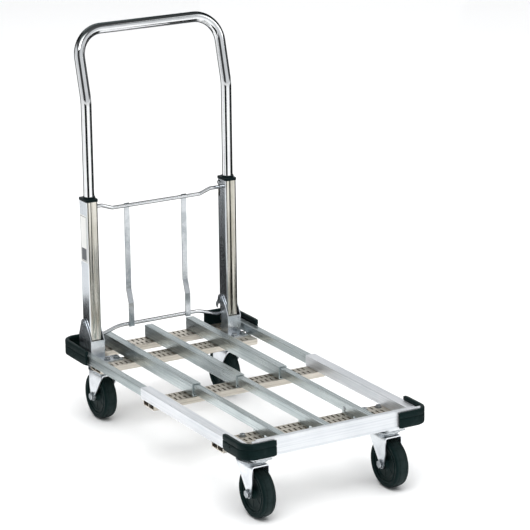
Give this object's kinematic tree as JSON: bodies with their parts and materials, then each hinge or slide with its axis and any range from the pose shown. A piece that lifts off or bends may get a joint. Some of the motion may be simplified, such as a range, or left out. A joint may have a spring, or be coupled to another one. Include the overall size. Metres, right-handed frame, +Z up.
{
  "type": "folding luggage cart",
  "caption": "Folding aluminium luggage cart: telescoping ladder deck, fold-down posts, telescoping chrome push handle, corner bumpers and swivel casters.",
  "frame": {"origin": "middle of the footprint on the floor, at rest: deck extended, posts upright, handle raised", "axes": "+X across the cart to its right, +Y along the deck towards the handle, +Z up"},
  "size_m": [0.412, 0.772, 0.828],
  "materials": {
    "bright_aluminium": "satin",
    "satin_aluminium": "satin",
    "warm_aluminium": "satin",
    "polished_aluminium": "polished",
    "chrome": "mirror",
    "plated_steel": "plated",
    "zinc_steel": "zinc plated",
    "black_plastic": "matte",
    "hub_plastic": "matte",
    "black_rubber": "matte",
    "tyre_rubber": "matte",
    "label": "printed blank"
  },
  "bodies": {
    "rear_frame": {"rear_side_rail_left": "satin_aluminium", "rear_side_rail_right": "satin_aluminium", "deck_bar_left": "satin_aluminium", "deck_bar_middle": "satin_aluminium", "deck_bar_right": "satin_aluminium", "bar_glides": "black_plastic", "rail_spacers": "satin_aluminium", "mid_cross_member": "warm_aluminium", "hinge_cross_member": "warm_aluminium", "rear_cross_member": "warm_aluminium", "hinge_bracket_left": "zinc_steel", "hinge_bracket_right": "zinc_steel", "pivot_pins": "zinc_steel", "rear_fasteners": "zinc_steel", "rear_caster_plates": "zinc_steel", "rear_bumper_left": "black_rubber", "rear_bumper_right": "black_rubber"},
    "front_frame": {"front_side_rail_left": "bright_aluminium", "front_side_rail_right": "bright_aluminium", "extension_bar_left": "satin_aluminium", "extension_bar_middle": "satin_aluminium", "extension_bar_right": "satin_aluminium", "extension_bar_feet": "satin_aluminium", "front_end_rail": "bright_aluminium", "front_cross_member": "warm_aluminium", "front_corner_blocks": "bright_aluminium", "front_fasteners": "zinc_steel", "front_caster_plates": "zinc_steel", "front_bumper_left": "black_rubber", "front_bumper_right": "black_rubber"},
    "posts": {"post_left": "polished_aluminium", "post_right": "polished_aluminium", "post_cap_left": "black_plastic", "post_cap_right": "black_plastic", "pivot_bushes": "black_plastic", "post_label": "label"},
    "handle": {"handle_tube": "chrome", "handle_glides": "black_plastic"},
    "release_frame": {"release_rod_upper": "plated_steel", "release_rod_lower": "plated_steel", "release_strap_left": "plated_steel", "release_strap_right": "plated_steel"},
    "lock_button_left": {"handle_lock_button_left": "chrome"},
    "lock_button_right": {"handle_lock_button_right": "chrome"},
    "swivel_front_left": {"caster_fork_front_left": "zinc_steel", "caster_axle_front_left": "zinc_steel"},
    "wheel_front_left": {"wheel_tyre_front_left": "tyre_rubber", "wheel_hub_front_left": "hub_plastic"},
    "swivel_front_right": {"caster_fork_front_right": "zinc_steel", "caster_axle_front_right": "zinc_steel"},
    "wheel_front_right": {"wheel_tyre_front_right": "tyre_rubber", "wheel_hub_front_right": "hub_plastic"},
    "swivel_rear_left": {"caster_fork_rear_left": "zinc_steel", "caster_axle_rear_left": "zinc_steel"},
    "wheel_rear_left": {"wheel_tyre_rear_left": "tyre_rubber", "wheel_hub_rear_left": "hub_plastic"},
    "swivel_rear_right": {"caster_fork_rear_right": "zinc_steel", "caster_axle_rear_right": "zinc_steel"},
    "wheel_rear_right": {"wheel_tyre_rear_right": "tyre_rubber", "wheel_hub_rear_right": "hub_plastic"}
  },
  "joints": [
    {"name": "deck_slide", "type": "slide", "parent": "rear_frame", "child": "front_frame", "axis": [0, 1, 0], "range_m": [0, 0.23]},
    {"name": "post_fold", "type": "hinge", "parent": "rear_frame", "child": "posts", "pos_m": [0, 0.33, 0.207], "axis": [1, 0, 0], "range_deg": [0, 90]},
    {"name": "handle_slide", "type": "slide", "parent": "posts", "child": "handle", "axis": [0, 0, 1], "range_m": [-0.185, 0]},
    {"name": "release_press", "type": "slide", "parent": "posts", "child": "release_frame", "axis": [0, 0, 1], "range_m": [-0.015, 0], "stiffness_N_per_m": 400, "springref_m": 0.03},
    {"name": "lock_button_left_press", "type": "slide", "parent": "posts", "child": "lock_button_left", "axis": [-1, 0, 0], "range_m": [0, 0.0025], "stiffness_N_per_m": 400, "springref_m": -0.005},
    {"name": "lock_button_right_press", "type": "slide", "parent": "posts", "child": "lock_button_right", "axis": [1, 0, 0], "range_m": [0, 0.0025], "stiffness_N_per_m": 400, "springref_m": -0.005},
    {"name": "swivel_front_left_turn", "type": "hinge", "parent": "front_frame", "child": "swivel_front_left", "pos_m": [-0.148, -0.315, 0.115], "axis": [0, 0, 1], "continuous": true},
    {"name": "wheel_front_left_roll", "type": "hinge", "parent": "swivel_front_left", "child": "wheel_front_left", "pos_m": [-0.148, -0.331, 0.05], "axis": [1, 0, 0], "continuous": true},
    {"name": "swivel_front_right_turn", "type": "hinge", "parent": "front_frame", "child": "swivel_front_right", "pos_m": [0.148, -0.315, 0.115], "axis": [0, 0, 1], "continuous": true},
    {"name": "wheel_front_right_roll", "type": "hinge", "parent": "swivel_front_right", "child": "wheel_front_right", "pos_m": [0.148, -0.331, 0.05], "axis": [1, 0, 0], "continuous": true},
    {"name": "swivel_rear_left_turn", "type": "hinge", "parent": "rear_frame", "child": "swivel_rear_left", "pos_m": [-0.148, 0.303, 0.115], "axis": [0, 0, 1], "continuous": true},
    {"name": "wheel_rear_left_roll", "type": "hinge", "parent": "swivel_rear_left", "child": "wheel_rear_left", "pos_m": [-0.148, 0.319, 0.05], "axis": [1, 0, 0], "continuous": true},
    {"name": "swivel_rear_right_turn", "type": "hinge", "parent": "rear_frame", "child": "swivel_rear_right", "pos_m": [0.148, 0.303, 0.115], "axis": [0, 0, 1], "continuous": true},
    {"name": "wheel_rear_right_roll", "type": "hinge", "parent": "swivel_rear_right", "child": "wheel_rear_right", "pos_m": [0.148, 0.319, 0.05], "axis": [1, 0, 0], "continuous": true}
  ]
}
